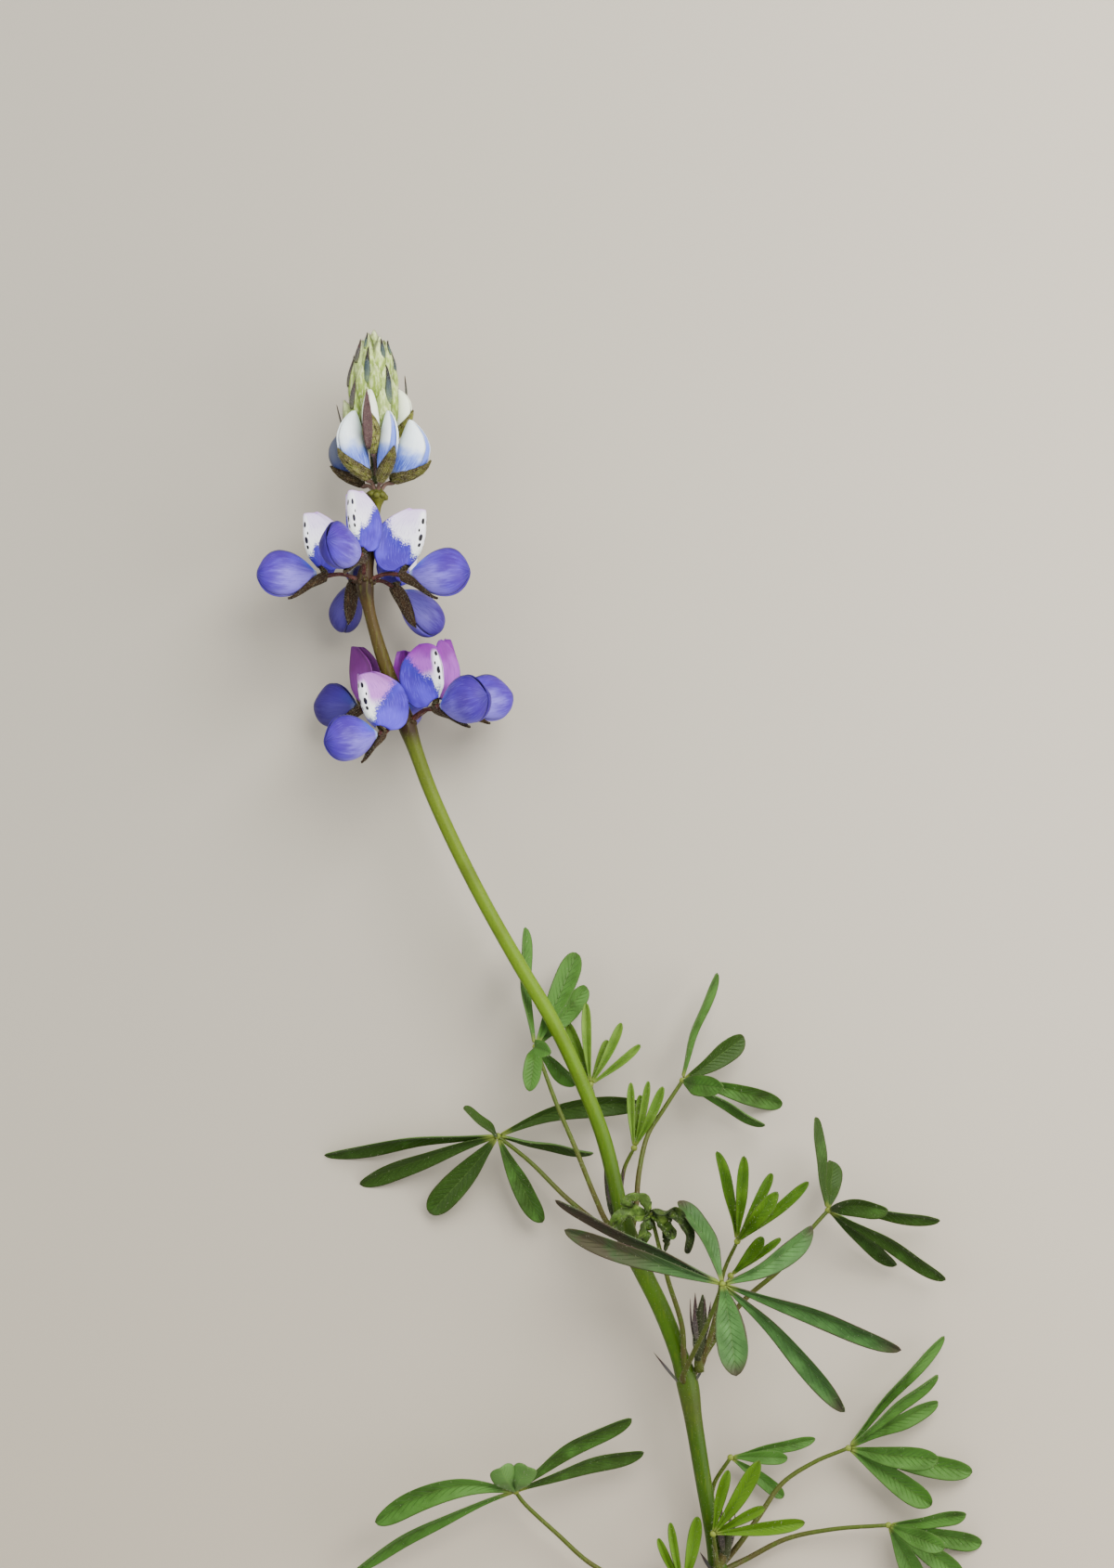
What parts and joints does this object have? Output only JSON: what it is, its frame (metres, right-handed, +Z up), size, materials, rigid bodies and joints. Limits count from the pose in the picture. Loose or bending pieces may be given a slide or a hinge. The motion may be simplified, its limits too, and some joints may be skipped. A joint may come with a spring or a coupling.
{
  "type": "lupin flower spike",
  "caption": "Picked lupin stem laid on its back: two whorls of open flowers under a tip of buds, with palmate leaves and side shoots below.",
  "frame": {"origin": "on the surface that it lies on, under the middle of its outline", "axes": "+Y along the stem towards the tip of the spike, +Z up from the surface, +X to the right as seen from above"},
  "size_m": [0.1256, 0.2352, 0.0326],
  "materials": {
    "stem": "fresh green stem, softly glossy, downy, browner between the whorls",
    "leaf": "matte green leaflets, paler beneath, edges tinged purple",
    "side_shoot": "young bright green leaves, matte and downy",
    "withered_leaf": "shrivelled dark leaf, dull",
    "calyx": "brown-green, covered in short pale hairs",
    "wings": "blue-violet petal with fine darker veins, satin",
    "fresh_banner": "blue petal with a white middle and dark dots, satin",
    "aged_banner": "blue petal with a magenta middle, satin",
    "bud_petals": "white bud petals shading to pale blue, satin",
    "bud_head": "yellow-green downy buds with dark slender bracts"
  },
  "bodies": {
    "root": {"bud_1_calyx": "calyx", "bud_1_petals": "bud_petals", "bud_2_calyx": "calyx", "bud_2_petals": "bud_petals", "bud_3_calyx": "calyx", "bud_3_petals": "bud_petals", "bud_4_calyx": "calyx", "bud_4_petals": "bud_petals", "bud_5_calyx": "calyx", "bud_5_petals": "bud_petals", "bud_6_calyx": "calyx", "bud_6_petals": "bud_petals", "bud_head": "bud_head", "flower_high_1_banner": "fresh_banner", "flower_high_1_calyx": "calyx", "flower_high_1_wings": "wings", "flower_high_2_banner": "fresh_banner", "flower_high_2_calyx": "calyx", "flower_high_2_wings": "wings", "flower_high_3_banner": "fresh_banner", "flower_high_3_calyx": "calyx", "flower_high_3_wings": "wings", "flower_high_4_banner": "fresh_banner", "flower_high_4_calyx": "calyx", "flower_high_4_wings": "wings", "flower_high_5_banner": "fresh_banner", "flower_high_5_calyx": "calyx", "flower_high_5_wings": "wings", "flower_low_1_banner": "aged_banner", "flower_low_1_calyx": "calyx", "flower_low_1_wings": "wings", "flower_low_2_banner": "aged_banner", "flower_low_2_calyx": "calyx", "flower_low_2_wings": "wings", "flower_low_3_banner": "aged_banner", "flower_low_3_calyx": "calyx", "flower_low_3_wings": "wings", "flower_low_4_banner": "aged_banner", "flower_low_4_calyx": "calyx", "flower_low_4_wings": "wings", "flower_low_5_banner": "aged_banner", "flower_low_5_calyx": "calyx", "flower_low_5_wings": "wings", "leaf_front": "leaf", "leaf_high": "leaf", "leaf_left": "leaf", "leaf_low_left": "leaf", "leaf_low_middle": "leaf", "leaf_low_right": "leaf", "leaf_lowest_right": "leaf", "leaf_right": "leaf", "leaf_tall": "leaf", "leaf_withered": "withered_leaf", "side_shoot_high": "side_shoot", "side_shoot_low": "side_shoot", "side_shoot_middle": "side_shoot", "stem": "stem"}
  },
  "joints": []
}
